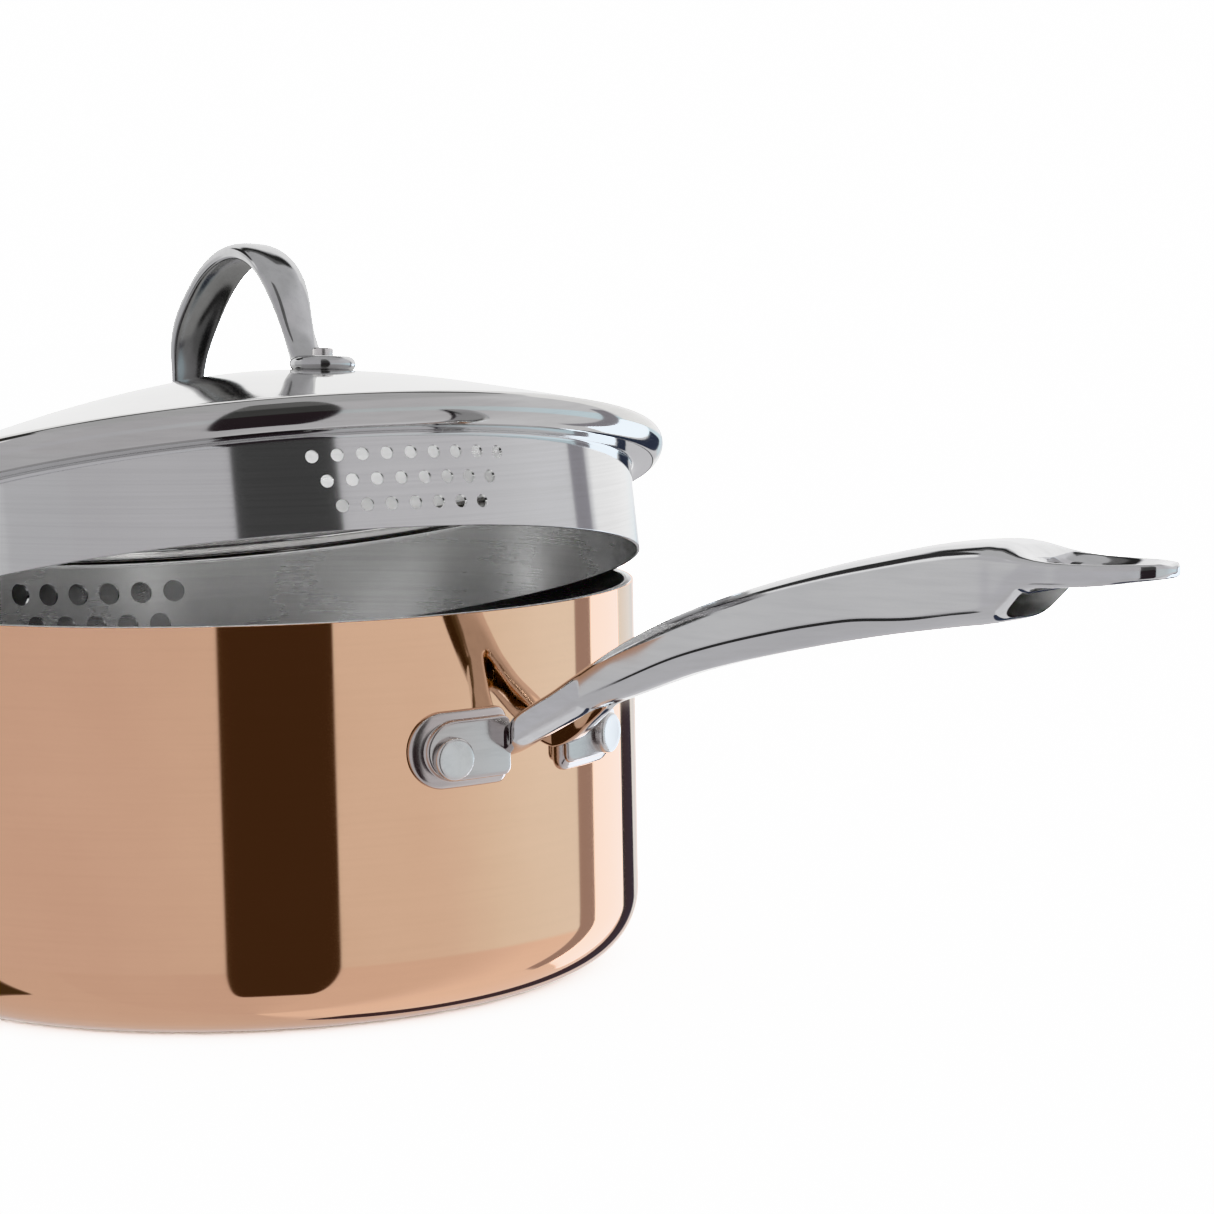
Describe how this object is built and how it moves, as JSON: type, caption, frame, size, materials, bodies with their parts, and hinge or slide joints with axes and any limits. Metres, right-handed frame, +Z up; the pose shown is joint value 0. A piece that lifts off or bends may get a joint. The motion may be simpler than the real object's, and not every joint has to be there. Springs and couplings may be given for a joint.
{
  "type": "saucepan with strainer lid",
  "caption": "Straight-sided copper-clad saucepan with a long riveted hollow handle and a domed steel lid with a pierced strainer collar and strap bow, lying ajar.",
  "frame": {"origin": "middle of the flat underside of the base", "axes": "+Z up, +X along the long handle"},
  "size_m": [0.3871, 0.2136, 0.1889],
  "materials": {
    "copper": "mirror polished copper",
    "aluminium_core": "plain, seen only at the rim",
    "liner_steel": "fine circular brushing",
    "handle_steel": "mirror polished cast stainless steel",
    "rivet_steel": "satin stainless steel",
    "lid_steel": "mirror polished stainless steel",
    "collar_steel": "polished stainless steel with fine drawing lines"
  },
  "bodies": {
    "pan": {"pan_copper_shell": "copper", "pan_aluminium_core": "aluminium_core", "pan_steel_liner": "liner_steel", "long_handle": "handle_steel", "handle_rivet_right": "rivet_steel", "handle_rivet_left": "rivet_steel"},
    "lid": {"lid_dome": "lid_steel", "lid_strainer_collar": "collar_steel", "lid_bow_handle": "handle_steel", "lid_rivet_front": "rivet_steel", "lid_rivet_rear": "rivet_steel"}
  },
  "joints": [
    {"name": "lid_lift", "type": "slide", "parent": "pan", "child": "lid", "axis": [0, 0, 1], "range_m": [0, 0.1]}
  ]
}
